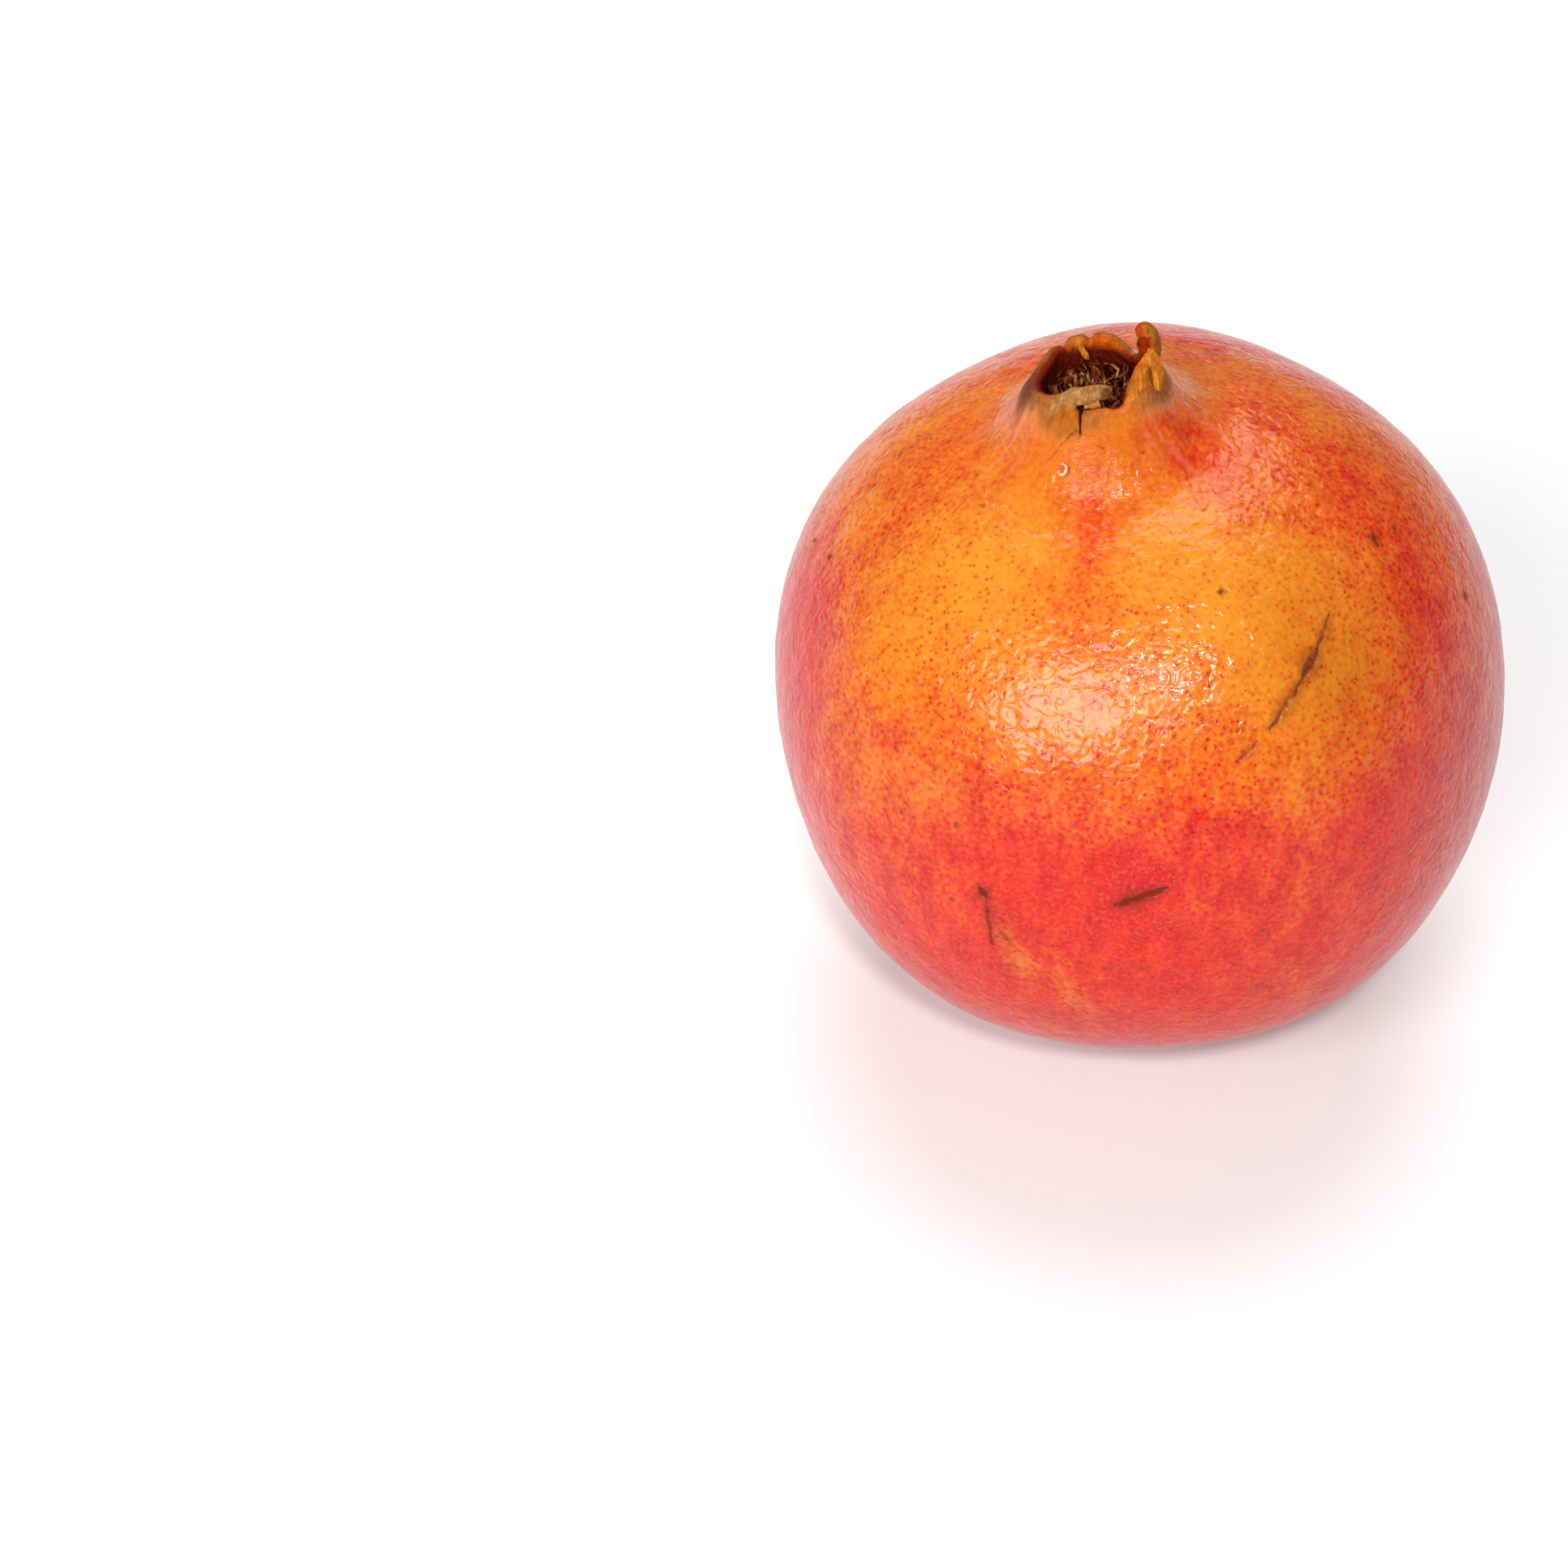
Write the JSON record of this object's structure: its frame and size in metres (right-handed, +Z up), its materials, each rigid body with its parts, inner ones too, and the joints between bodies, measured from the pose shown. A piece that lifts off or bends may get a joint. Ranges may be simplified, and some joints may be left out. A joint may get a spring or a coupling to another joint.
{
  "type": "pomegranate",
  "caption": "Whole ripe pomegranate with its dried calyx crown, standing on its stem end with the crown leaning to one side.",
  "frame": {"origin": "middle of the small flat spot underneath that the fruit rests on", "axes": "+Z up; -Y is the front, and the crown leans towards -X and a little to the front"},
  "size_m": [0.0924, 0.0922, 0.1022],
  "materials": {
    "rind": "glossy, finely pebbled rind, red with an orange flush",
    "dried_flower": "dry, papery brown",
    "stem_wood": "rough, grey-brown cut wood"
  },
  "bodies": {
    "root": {"fruit": "rind", "stamens": "dried_flower", "stem_stub": "stem_wood"}
  },
  "joints": []
}
